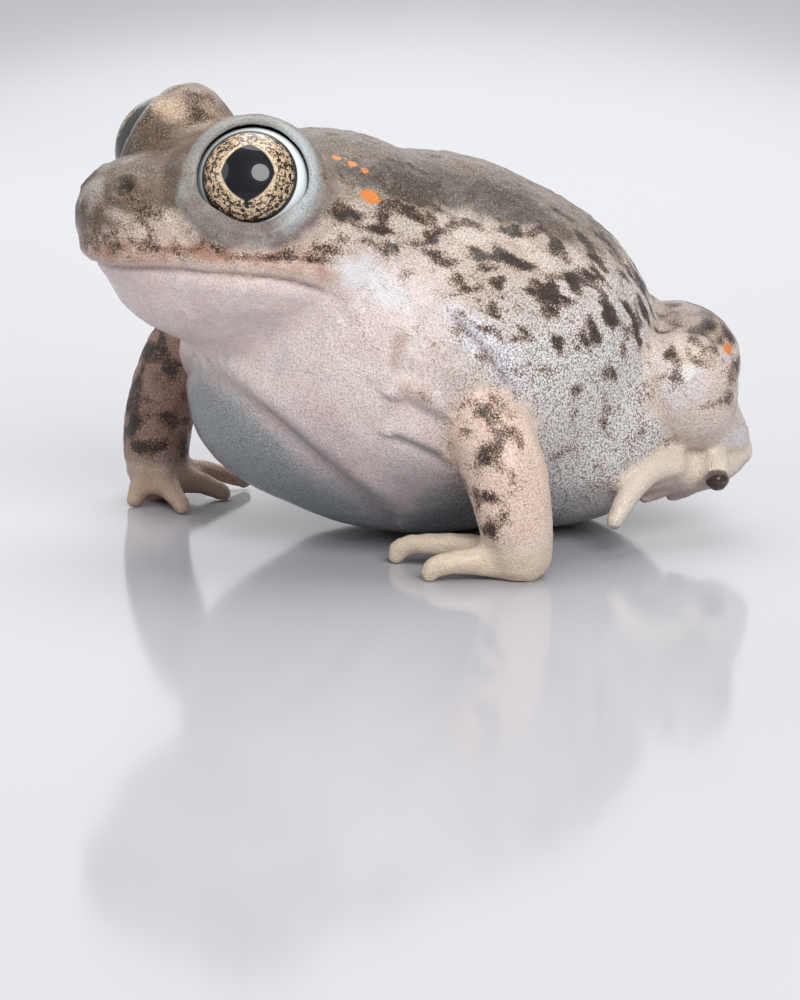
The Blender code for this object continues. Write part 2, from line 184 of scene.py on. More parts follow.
def lidRing(side, word):
    ring = bmesh.new()
    start = Matrix.Translation((eyePlan["lidRing"] * mm, 0, 0)) @ Matrix.Rotation(math.pi / 2, 4, "X")
    thickness = eyePlan["lidThickness"] * mm
    bmesh.ops.create_circle(ring, segments=eyePlan["lidSegments"], radius=thickness, matrix=start)
    bmesh.ops.spin(
        ring, geom=ring.verts[:] + ring.edges[:], cent=(0, 0, 0), axis=(0, 0, 1),
        angle=math.tau, steps=eyePlan["lidSteps"], use_merge=True,
    )
    bmesh.ops.remove_doubles(ring, verts=ring.verts, dist=sameSpot)
    bmesh.ops.recalc_face_normals(ring, faces=ring.faces)
    axis = outAndUp(eyePlan["turnOut"], eyePlan["turnUp"], side)
    turn = axis.to_track_quat("Z", "Y").to_matrix().to_4x4()
    ring.transform(Matrix.Translation(eyeCentre(word) + axis * eyePlan["lidForward"] * mm) @ turn)
    return ring


# skin: one closed surface over all the flesh nodes
skinPlan = dict(
    swell=0.17,
    voxel=0.18,
    softRounds=16,
    handShare=0.22,
    handRounds=6,
    lidHeld=0.82,
    lidNear=(5.2, 3.9),
    middle=-0.666,
    kept=0.58,
)
notFlesh = ("eye_left", "eye_right", "spade_left", "spade_right")
fleshNodes = sorted(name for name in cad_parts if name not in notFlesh)


def nodeCopy(name):
    bm = bmesh.new()
    bm.from_mesh(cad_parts[name].data)
    bmesh.ops.remove_doubles(bm, verts=bm.verts, dist=sameSpot)
    return bm


def makeSkin():
    bm = bmesh.new()
    for name in fleshNodes:
        piece = nodeCopy(name)
        piece.normal_update()
        moves = [vert.normal * skinPlan["swell"] * mm for vert in piece.verts]
        for vert, move in zip(piece.verts, moves):
            vert.co += move
        joinInto(bm, piece)
    for side, word in sides:
        joinInto(bm, lidRing(side, word))
    skin = meshObject("skin", bm)
    remesh = skin.modifiers.new("one skin", "REMESH")
    remesh.mode = "VOXEL"
    remesh.voxel_size = skinPlan["voxel"] * mm
    bakeModifiers(skin)
    print("skin joined,", len(skin.data.vertices), "points")
    return skin


def nearestNodes(skin):
    names = fleshNodes
    tree = kdtree.KDTree(sum(len(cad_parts[n].data.vertices) for n in names))
    owners = []
    for index, name in enumerate(names):
        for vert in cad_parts[name].data.vertices:
            tree.insert(vert.co, len(owners))
            owners.append(index)
    tree.balance()
    owners = np.array(owners)
    found = np.array([owners[tree.find(vert.co)[1]] for vert in skin.data.vertices])
    return {name: found == index for index, name in enumerate(names)}


def spread(skin, values, rounds):
    edges = np.empty(len(skin.data.edges) * 2, dtype=np.int64)
    skin.data.edges.foreach_get("vertices", edges)
    a, b = edges.reshape(-1, 2).T
    count = np.bincount(a, minlength=len(values)) + np.bincount(b, minlength=len(values))
    for _ in range(rounds):
        total = np.bincount(a, values[b], len(values)) + np.bincount(b, values[a], len(values))
        values = 0.5 * values + 0.5 * total / np.maximum(count, 1)
    return values


def soften(skin, weights, rounds):
    group = skin.vertex_groups.new(name="soft")
    for level in np.unique(np.round(weights, 2)):
        if level > 0:
            group.add(np.flatnonzero(np.round(weights, 2) == level).tolist(), float(level), "REPLACE")
    smooth = skin.modifiers.new("soften", "SMOOTH")
    smooth.factor = 0.5
    smooth.iterations = rounds
    smooth.vertex_group = "soft"
    bakeModifiers(skin)
    skin.vertex_groups.clear()


def shrinkBack(skin):
    setPoints(skin, pointsOf(skin) - normalsOf(skin) * skinPlan["swell"] * mm)


# spots on the skin are given as they're seen in the view, in pixels
def seenSpots(points, mirrored=True):
    right, up, back = (np.array(axis) for axis in viewAxes())
    eye = np.array(viewPlan["target"]) + back * viewPlan["distance"]
    spots = points.copy()
    if mirrored:
        middle = skinPlan["middle"] * mm
        spots[:, 0] = middle + np.abs(spots[:, 0] - middle)
    spots = spots - eye
    away = -(spots @ back)
    width, height = viewPlan["width"], viewPlan["height"]
    focal = viewPlan["lens"] / viewPlan["sensor"] * height
    across = width / 2 + focal * (spots @ right) / away
    down = height / 2 - focal * (spots @ up) / away
    return np.stack([across, down], axis=1)


def facingView(points, normals):
    mirrored = normals.copy()
    mirrored[:, 0] *= np.where(points[:, 0] < skinPlan["middle"] * mm, -1, 1)
    return mirrored @ np.array(viewAxes()[2])


def lineDistance(spots, line):
    best = np.full(len(spots), 1e9)
    side = np.ones(len(spots))
    for start, end in zip(line, line[1:]):
        start, end = np.array(start, float), np.array(end, float)
        along = end - start
        share = np.clip((spots - start) @ along / (along @ along), 0, 1)
        offset = spots - (start + share[:, None] * along)
        distance = np.hypot(offset[:, 0], offset[:, 1])
        closer = distance < best
        turn = along[0] * offset[:, 1] - along[1] * offset[:, 0]
        side = np.where(closer, np.where(turn < 0, -1, 1), side)
        best = np.where(closer, distance, best)
    return best * side


def noiseField(points, size, shift=0.0):
    scale = 1 / (size * mm)
    return np.array([noise.noise(Vector(p) * scale + Vector((shift, shift, shift))) for p in points])


skin = makeSkin()
owner = nearestNodes(skin)


def ownedBy(*starts):
    return sum(owner[name].astype(float) for name in fleshNodes if name.startswith(starts))


hands = spread(skin, ownedBy("hand", "foot"), skinPlan["handRounds"])
around = pointsOf(skin)
eyeDistance = np.min([lengths(around - np.array(eyeCentre(word))) for _, word in sides], axis=0)
nearLids = ramp(eyeDistance / mm, *skinPlan["lidNear"])
weights = np.clip(1 - (1 - skinPlan["handShare"]) * hands, 0, 1) * (1 - skinPlan["lidHeld"] * nearLids)
soften(skin, weights, skinPlan["softRounds"])
shrinkBack(skin)
print("skin softened")


# sculpted folds: the mouth and nostrils in millimetres, lines on the body in pixels of the view
mouthPlan = dict(
    line=(
        (-23.2, 17.4), (-19.2, 17.55), (-17.8, 17.75), (-16.2, 17.88), (-14.2, 17.9), (-12.2, 17.75),
        (-10.5, 17.35), (-9.0, 16.85), (-8.2, 16.55),
    ),
    corner=-8.6,
    depth=0.24,
    width=0.15,
    fade=(0.2, -1.2),
    lipAbove=0.8,
    lipSwell=0.10,
    lipWidth=0.5,
    rustAbove=1.25,
    rustWidth=0.8,
)
nostrilPlan = dict(
    places=((1.78, -18.47, 22.48), (-3.11, -18.47, 22.48)),
    depth=0.60,
    size=0.40,
    rim=0.16,
    rimRadius=0.85,
    rimWidth=0.28,
)
foldPlan = dict(
    chest=dict(
        line=((165, 330), (205, 350), (215, 375), (260, 410), (330, 470), (392, 520)),
        depth=0.32, width=7, swell=0.22,
    ),
    armpit=dict(line=((396, 440), (432, 456), (468, 476)), depth=0.20, width=5, swell=0.20),
    armpitTop=dict(line=((404, 404), (436, 420), (462, 436)), depth=0.22, width=7, swell=0.34),
    sideFold=dict(line=((456, 318), (474, 338), (494, 364), (516, 398)), depth=0.20, width=4.5, swell=0.12),
    cheekFold=dict(line=((326, 292), (340, 306), (348, 326)), depth=0.10, width=5, swell=0.06),
)

# a fold's swell lies this many widths to one side, and is this many widths wide
swellAside, swellWidth = 2.2, 1.5
foldFacing, foldRounds = (0.05, 0.35), 2

# rings round the eye, as radius, width and height: below it and above it
lowerLidFolds = ((3.85, 0.15, -0.24), (4.12, 0.17, 0.10), (4.42, 0.15, -0.14))
upperLidFolds = ((3.95, 0.12, -0.06),)
lidFoldReach = dict(outward=(6.2, 5.0), forward=(-1.0, 0.0), below=(0.6, 2.2))

# rounder places: where, how wide and how high, in millimetres
bulges = (
    ((-4.4, -11.0, 26.8), 1.5, 0.30),
    ((12.9, -2.0, 11.3), 1.6, 0.25),
)


def aboveMouth(points):
    ys, zs = zip(*mouthPlan["line"])
    return points[:, 2] / mm - np.interp(points[:, 1] / mm, ys, zs)


def eyeAxes(side, gazeOut):
    forward = outAndUp(gazeOut, eyePlan["turnUp"], side)
    rearward = Vector((0, 0, 1)).cross(forward).normalized() * side
    upward = forward.cross(rearward) * side
    return rearward, upward, forward


def eyeFrame(points, side, word, gazeOut):
    return (points - np.array(eyeCentre(word))) @ np.array(eyeAxes(side, gazeOut)).T / mm


# degrees that the lower, upper, front and rear rims turn over the ball, and where each turn fades
lidPlan = dict(
    left=(22.0, 5.0, 9.5, 9.5),
    right=(8.0, 0.0, -9.0, 4.0),
    reach=(5.4, 4.4),
    steep=(118, 84),
    below=(-0.1, 0.9),
    above=(0.3, 1.0),
    ahead=(-0.1, 0.9),
    behind=(0.1, 0.9),
)


def slideLids(skin):
    points = pointsOf(skin)
    for side, word in sides:
        local = eyeFrame(points, side, word, eyePlan["turnOut"])
        ring = np.hypot(local[:, 0], local[:, 1])
        steep = np.degrees(np.arctan2(ring, local[:, 2]))
        reach = ramp(lengths(local), *lidPlan["reach"]) * ramp(steep, *lidPlan["steep"])
        width = np.maximum(ring, 0.01)
        share = np.clip(local[:, 1] / width, -1, 1)
        lower, upper, front, rear = (math.radians(angle) for angle in lidPlan[word])
        axes = np.array(eyeAxes(side, eyePlan["turnOut"]))
        turn = (lower * ramp(-share, *lidPlan["below"]) - upper * ramp(share, *lidPlan["above"])) * reach
        up = local[:, 1] * np.cos(turn) + local[:, 2] * np.sin(turn)
        out = local[:, 2] * np.cos(turn) - local[:, 1] * np.sin(turn)
        level = local[:, 0] / width
        turn = (front * ramp(-level, *lidPlan["ahead"]) - rear * ramp(level, *lidPlan["behind"])) * reach
        aside = local[:, 0] * np.cos(turn) + out * np.sin(turn)
        out = out * np.cos(turn) - local[:, 0] * np.sin(turn)
        moved = np.stack([aside, up, out], axis=1)
        points = points + ((moved - local) @ axes) * mm
    setPoints(skin, points)


def sculptFolds(skin):
    points = pointsOf(skin)
    normals = normalsOf(skin)
    push = np.zeros(len(points))
    above = aboveMouth(points)
    frontOfJaw = ramp(points[:, 1] / mm - mouthPlan["corner"], *mouthPlan["fade"])
    onHead = ownedBy("head", "lower_jaw")
    lip = bell(above - mouthPlan["lipAbove"], mouthPlan["lipWidth"])
    push -= mouthPlan["depth"] * bell(above, mouthPlan["width"]) * frontOfJaw * onHead
    push += mouthPlan["lipSwell"] * lip * frontOfJaw * onHead
    for centre in nostrilPlan["places"]:
        distance = lengths(points / mm - np.array(centre))
        push -= nostrilPlan["depth"] * bell(distance, nostrilPlan["size"])
        push += nostrilPlan["rim"] * bell(distance - nostrilPlan["rimRadius"], nostrilPlan["rimWidth"])
    spots = seenSpots(points)
    onTorso = spread(skin, ownedBy("torso"), foldRounds) * ramp(facingView(points, normals), *foldFacing)
    for plan in foldPlan.values():
        distance = lineDistance(spots, plan["line"])
        push -= plan["depth"] * bell(distance, plan["width"]) * onTorso
        push += plan["swell"] * bell(distance / plan["width"] + swellAside, swellWidth) * onTorso
    for side, word in sides:
        local = eyeFrame(points, side, word, eyePlan["turnOut"])
        ring = np.hypot(local[:, 0], local[:, 1])
        nearEye = ramp(lengths(local), *lidFoldReach["outward"])
        nearEye = nearEye * ramp(local[:, 2], *lidFoldReach["forward"])
        lower = ramp(-local[:, 1], *lidFoldReach["below"])
        for radius, width, height in lowerLidFolds:
            push += height * bell(ring - radius, width) * nearEye * lower
        for radius, width, height in upperLidFolds:
            push += height * bell(ring - radius, width) * nearEye * (1 - lower)
    for place, width, swell in bulges:
        push += swell * bell(lengths(points / mm - np.array(place)), width)
    setPoints(skin, points + normals * (push * mm)[:, None])


# heights of the warts, and the sizes of the coarse and the fine ones
wartPlan = dict(
    back=0.075,
    head=0.045,
    limbs=0.05,
    belly=0.02,
    size=0.95,
    fineSize=0.42,
    fineShift=7.3,
    coarseShare=1.3,
    fineShare=0.55,
    deepest=-0.2,
    upward=(-0.3, 0.5),
    rounds=6,
    lidNear=(4.6, 3.9),
    lidHeld=0.8,
)


def sculptWarts(skin):
    plan = wartPlan
    points = pointsOf(skin)
    normals = normalsOf(skin)
    coarse = noiseField(points, plan["size"])
    fine = noiseField(points, plan["fineSize"], plan["fineShift"])
    upward = ramp(normals[:, 2], *plan["upward"])
    amount = plan["belly"] + (plan["back"] - plan["belly"]) * upward
    amount = np.where(ownedBy("head", "lower_jaw") > 0, plan["head"], amount)
    amount = np.where(ownedBy("upper", "fore", "hand", "thigh", "shank", "foot") > 0, plan["limbs"], amount)
    amount = spread(skin, amount, plan["rounds"])
    amount = amount * (1 - plan["lidHeld"] * ramp(eyeDistance / mm, *plan["lidNear"]))
    push = amount * (np.clip(coarse, plan["deepest"], 1) * plan["coarseShare"] + fine * plan["fineShare"])
    setPoints(skin, points + normals * (push * mm)[:, None])


slideLids(skin)
sculptFolds(skin)
sculptWarts(skin)
skin.data.shade_smooth()
print("folds and warts sculpted")


# colours, as red, green and blue of light
skinColours = dict(
    flank=(0.64, 0.53, 0.45),
    lowFlank=(0.92, 0.88, 0.86),
    back=(0.180, 0.138, 0.096),
    band=(0.088, 0.056, 0.032),
    chest=(0.91, 0.79, 0.75),
    throat=(0.98, 0.83, 0.79),
    # the belly's own blue-grey, darkened as painted shade
    belly=(0.30, 0.345, 0.37),
    # the chest darkened as painted shade, at its bottom and by its crease
    lowChestShade=(0.50, 0.44, 0.46),
    headTop=(0.155, 0.118, 0.083),
    cheek=(0.84, 0.68, 0.58),
    upperLip=(0.80, 0.60, 0.50),
    lid=(0.40, 0.39, 0.36),
    lidLow=(0.26, 0.205, 0.185),
    lidRear=(0.60, 0.64, 0.66),
    arm=(0.96, 0.74, 0.61),
    # the far arm and hand: the near ones' colours darkened as painted shade
    farArmInShade=(0.46, 0.27, 0.21),
    hand=(0.86, 0.70, 0.54),
    farHandInShade=(0.62, 0.44, 0.33),
    foot=(0.88, 0.76, 0.64),
    leg=(0.84, 0.71, 0.63),
    legTop=(0.24, 0.175, 0.135),
    sole=(0.56, 0.42, 0.38),
    white=(0.92, 0.90, 0.91),
    bluish=(0.96, 0.94, 1.00),
    lidLight=(0.68, 0.49, 0.35),
    browSheen=(0.58, 0.53, 0.48),
    browShade=(0.085, 0.054, 0.034),
    mouth=(0.38, 0.20, 0.17),
    rust=(0.42, 0.20, 0.12),
    purple=(0.34, 0.20, 0.22),
    # the painted shade inside the nostrils
    nostril=(0.03, 0.022, 0.02),
    paleTrunk=(0.86, 0.75, 0.66),
)

# marks: place in the view, half width and half height in pixels, slope in degrees, strength
# white patches of the skin, and painted highlights on the knee and the heel
whiteMarksAndHighlights = (
    ((362, 276), (20, 20), 0, 1.0), ((388, 292), (24, 15), 12, 0.9), ((404, 304), (12, 10), 0, 0.6),
    ((336, 262), (15, 10), 0, 0.45), ((684, 386), (24, 22), 0, 0.7), ((737, 438), (16, 9), -20, 0.7),
    ((660, 360), (10, 14), 20, 0.3),
)
bluishMarks = (
    ((478, 336), (30, 18), 38, 1.0), ((506, 362), (26, 17), 48, 0.9), ((456, 312), (16, 12), 20, 0.6),
    ((516, 390), (14, 18), 0, 0.6),
)

# raised orange spots: place in millimetres, size, strength
orangeSpots = (
    ((6.91, -5.06, 21.82), 0.62, 1.0), ((4.35, -7.02, 23.81), 0.30, 0.8), ((4.13, -5.96, 23.72), 0.34, 0.8),
    ((4.77, -5.29, 23.42), 0.32, 0.7), ((5.40, -4.81, 23.06), 0.27, 0.6), ((9.68, 17.28, 11.63), 0.42, 0.8),
)

# blotches on both sides of the body and head
blotchMarks = (
    ((433, 237), (10, 8), 0, 0.9), ((452, 227), (8, 5), 20, 0.7), ((425, 220), (15, 5), 10, 0.7),
    ((511, 262), (19, 7), 22, 0.85), ((499, 281), (11, 7), 10, 0.8), ((540, 288), (13, 9), 40, 0.9),
    ((541, 229), (19, 7), -14, 1.0), ((557, 247), (6, 17), -32, 0.9), ((579, 279), (11, 10), 40, 0.9),
    ((592, 252), (4, 28), -36, 0.9), ((612, 250), (4, 25), -36, 0.8), ((547, 310), (6, 9), -20, 0.8),
    ((570, 301), (11, 6), 30, 0.8), ((557, 340), (9, 6), 0, 0.5), ((590, 340), (14, 7), 0, 0.5),
    ((607, 373), (7, 12), 0, 0.6), ((580, 387), (7, 10), 0, 0.55), ((551, 368), (8, 6), 0, 0.4),
    ((613, 411), (6, 6), 0, 0.45), ((633, 330), (5, 10), 0, 0.6), ((610, 317), (6, 11), -20, 0.6),
    ((623, 352), (4, 12), 0, 0.45), ((482, 270), (9, 5), 0, 0.6), ((480, 252), (9, 6), 20, 0.6),
    ((450, 262), (12, 6), 0, 0.5), ((427, 254), (12, 5), 10, 0.6), ((503, 230), (13, 4), 10, 0.7),
    ((527, 209), (14, 4), 30, 0.9), ((560, 212), (11, 4), 38, 0.8), ((513, 190), (18, 5), 20, 0.7),
    ((344, 214), (22, 7), 8, 0.9), ((383, 210), (9, 10), 0, 0.9), ((400, 200), (13, 10), 20, 0.8),
    ((367, 228), (18, 4), 14, 0.7), ((320, 181), (7, 11), 0, 0.6), ((408, 275), (10, 6), 0, 0.4),
    ((392, 250), (10, 6), 20, 0.5), ((330, 250), (16, 5), 10, 0.5), ((640, 305), (4, 13), -20, 0.6),
    ((428, 400), (11, 5), 24, 0.45), ((462, 410), (12, 5), 8, 0.5),
    ((126, 226), (10, 6), 30, 0.4), ((108, 208), (8, 11), 10, 0.3), ((152, 232), (5, 9), -20, 0.5),
    ((171, 251), (20, 4), 12, 0.6), ((188, 259), (13, 4), 8, 0.55), ((214, 251), (14, 6), 30, 0.65),
    ((231, 256), (18, 4), 4, 0.55), ((291, 251), (12, 5), 30, 0.7), ((306, 260), (14, 4), 10, 0.65),
    ((268, 258), (14, 3), 0, 0.6), ((120, 248), (14, 4), 14, 0.6), ((146, 212), (9, 6), 20, 0.4),
    ((186, 226), (6, 9), 20, 0.5), ((132, 258), (14, 3), 8, 0.6), ((84, 204), (4, 14), 0, 0.4),
    ((178, 140), (20, 7), -20, 0.4), ((188, 168), (7, 20), 10, 0.6), ((206, 140), (5, 16), 20, 0.4),
    ((690, 345), (5, 13), 20, 0.45), ((708, 320), (6, 13), -30, 0.6), ((668, 316), (9, 6), 0, 0.4),
    ((728, 330), (5, 17), -20, 0.7), ((733, 372), (5, 13), 10, 0.6), ((712, 404), (17, 4), -20, 0.5),
    ((672, 440), (14, 4), -24, 0.3),
)

# blotches on one arm only, near and far
armMarks = (
    ((489, 497), (8, 6), 10, 1.0), ((491, 528), (9, 7), -10, 1.0), ((483, 460), (8, 7), 10, 0.9),
    ((499, 432), (6, 5), 0, 0.8), ((478, 408), (17, 7), 14, 0.42), ((513, 478), (4, 6), 0, 0.55),
    ((500, 552), (8, 6), 0, 0.7), ((520, 445), (4, 6), 0, 0.55), ((440, 388), (20, 7), 10, 0.6),
    ((508, 412), (12, 5), 40, 0.6), ((470, 434), (10, 4), 20, 0.5), ((504, 512), (5, 9), 10, 0.45),
)
farArmMarks = (
    ((150, 352), (16, 10), 0, 0.9), ((136, 392), (7, 14), 8, 0.9), ((166, 376), (9, 9), 20, 0.5),
    ((168, 420), (12, 7), 20, 0.7), ((148, 446), (18, 6), 0, 0.9), ((182, 442), (6, 12), 0, 0.6),
    ((132, 428), (6, 12), 0, 0.7),
)
farLidMarks = (
    ((196, 112), (12, 9), 40, 0.6), ((144, 120), (6, 16), 30, 0.5), ((184, 88), (20, 5), 20, 0.55),
    ((140, 92), (5, 10), 30, 0.4),
)
farLidPale = (((168, 108), (22, 11), 10, 0.9),)

# painted sheen on the top and tip of the snout, and painted shade in the hollow before each eye
browSheen = (((128, 150), (26, 9), -24, 1.0), ((94, 190), (10, 20), 10, 0.7))
browShade = (((172, 150), (24, 12), -30, 1.0), ((176, 184), (12, 24), 10, 0.9), ((156, 172), (18, 10), 0, 0.5))

# pale cells between the blotches
paleMarks = (
    ((118, 216), (12, 7), 20, 0.7), ((138, 232), (14, 8), 10, 0.8), ((186, 240), (14, 8), 0, 0.8),
    ((165, 241), (11, 7), 0, 0.8), ((170, 216), (8, 7), 0, 0.6), ((250, 250), (20, 5), 0, 0.6),
    ((206, 268), (60, 5), 2, 0.8), ((545, 262), (20, 9), 30, 0.9), ((575, 258), (6, 16), -34, 0.8),
    ((604, 272), (5, 18), -34, 0.8), ((410, 226), (26, 7), 12, 0.7), ((470, 238), (18, 7), 10, 0.7),
    ((525, 244), (12, 6), 30, 0.7), ((320, 236), (16, 9), 10, 0.6), ((490, 262), (10, 5), 10, 0.5),
    ((462, 250), (12, 4), 10, 0.5),
)

# the dark band down the side of the back
bandMarks = (((425, 184), (78, 20), 10, 1.0), ((505, 204), (44, 18), 22, 1.0), ((556, 228), (22, 8), 36, 0.7))

# rust coloured skin round the armpit
rustMarks = (((399, 350), (9, 20), 12, 0.8), ((418, 392), (20, 9), 30, 0.7), ((372, 380), (10, 6), 20, 0.3))

# lines under the dark of the back and under the dark of the head
backLine = (
    (300, 190), (345, 202), (400, 206), (450, 213), (500, 222), (550, 236), (600, 260), (640, 305),
    (690, 400),
)
browLine = ((70, 236), (110, 228), (150, 214), (200, 222), (250, 246), (300, 226), (345, 205))

# where the edge of a mark begins and ends, in shares of its size
markEdges = dict(soft=(1.45, 0.45), firm=(1.25, 0.65), sharp=(1.25, 0.85))

# noise that breaks up edges, as size in millimetres and shift
wobbles = dict(wide=(2.6, 3.1), small=(0.9, 9.7), tiny=(0.45, 5.2))

# noise drawn out along a line that slopes to the rear: degrees, length and width in millimetres, shift
flows = dict(
    front=(16, 1.9, 0.8, 2.4),
    rear=(50, 1.9, 0.8, 2.4),
    fine=(32, 0.8, 0.42, 6.8),
    head=(14, 1.5, 0.85, 4.4),
    fineHead=(14, 0.7, 0.4, 8.1),
)

# rounds of spreading that soften the edge of each part of the body
softEdges = dict(torso=12, head=60, jaw=14, leftArm=20, rightArm=60, hands=9, feet=7, legs=9, trunk=3)

# where each zone begins and where it's full
zones = dict(
    # by the way that the skin faces
    facing=(0.0, 0.25), backUp=(0.52, 0.86), shadedUnderside=(0.50, 0.95), net=(-0.15, 0.30),
    legNet=(-0.2, 0.6), armNet=(-0.2, 0.7), sole=(0.2, 0.8),
    # in pixels of the view
    backLine=(9, -7), lowFlank=(430, 560), lowFlankFront=(430, 520), chestRear=(500, 400),
    chestTop=(225, 285), belly=(-16, 28), bellyTop=(310, 370), bellyRear=(450, 365),
    lowChestShade=(520, 610), lowChestRear=(540, 480), crease=(-56, -4), creaseTop=(370, 430),
    creaseRear=(470, 420), undersideRear=(535, 600), headTop=(-12, 16), rustyLip=(350, 320),
    legTop=(362, 318), legTopRear=(640, 665), netLow=(400, 330), legNetRear=(700, 745),
    legNetLow=(425, 395),
    # in millimetres from the mouth line and its corner
    upperLip=(2.2, 0.6), cheekNet=(0.4, 1.4), mouthFront=(0.6, -0.4),
    # in millimetres from the eyes, the nostrils and the middle of the body
    nearEye=(5.6, 4.8), frontOfEye=(-0.6, 0.6), underEye=(-0.5, 1.5), lidRim=(4.3, 3.8),
    behindEye=(0.8, 2.8), rearRim=(4.1, 3.6), lidTop=(2.6, 1.2), nostril=(1.5, 1.0), rearward=(-5, 5),
)

# the light spot above each eye, the way into a nostril, and how wide nostrils and the flank's line are
lidTopPlace = (-0.6, 3.4, -1.2)
nostrilInward = (0, 0.87, -0.5)
nostrilSpread = 1.45
sideLineWidth = 3.2


def zone(name, values):
    return ramp(values, *zones[name])


def markWeight(spots, marks, wobble, edge="soft"):
    weight = np.zeros(len(spots))
    for place, size, slope, strength in marks:
        dx, dy = spots[:, 0] - place[0], spots[:, 1] - place[1]
        c, s = math.cos(math.radians(slope)), math.sin(math.radians(slope))
        distance = np.hypot((dx * c + dy * s) / size[0], (dy * c - dx * s) / size[1]) + wobble
        weight = np.maximum(weight, strength * ramp(distance, *markEdges[edge]))
    return weight


def blend(base, colour, weight):
    return base + (np.array(colour) - base) * weight[:, None]


def flowField(points, slope, along, across, shift):
    c, s = math.cos(math.radians(slope)), math.sin(math.radians(slope))
    aside = np.abs(points[:, 0] / mm - skinPlan["middle"])
    y, z = points[:, 1] / mm, points[:, 2] / mm
    stretched = np.stack([(c * y - s * z) / along, (s * y + c * z) / across, aside / across], axis=1)
    return noiseField(stretched * mm, 1.0, shift)


def store(skin, name, values):
    values = np.clip(values, 0, 1)
    if values.ndim == 2:
        layer = skin.data.attributes.new(name, "FLOAT_COLOR", "POINT")
        full = np.concatenate([values, np.ones((len(values), 1))], axis=1)
        layer.data.foreach_set("color", full.astype(np.float32).ravel())
    else:
        layer = skin.data.attributes.new(name, "FLOAT", "POINT")
        layer.data.foreach_set("value", values.astype(np.float32))


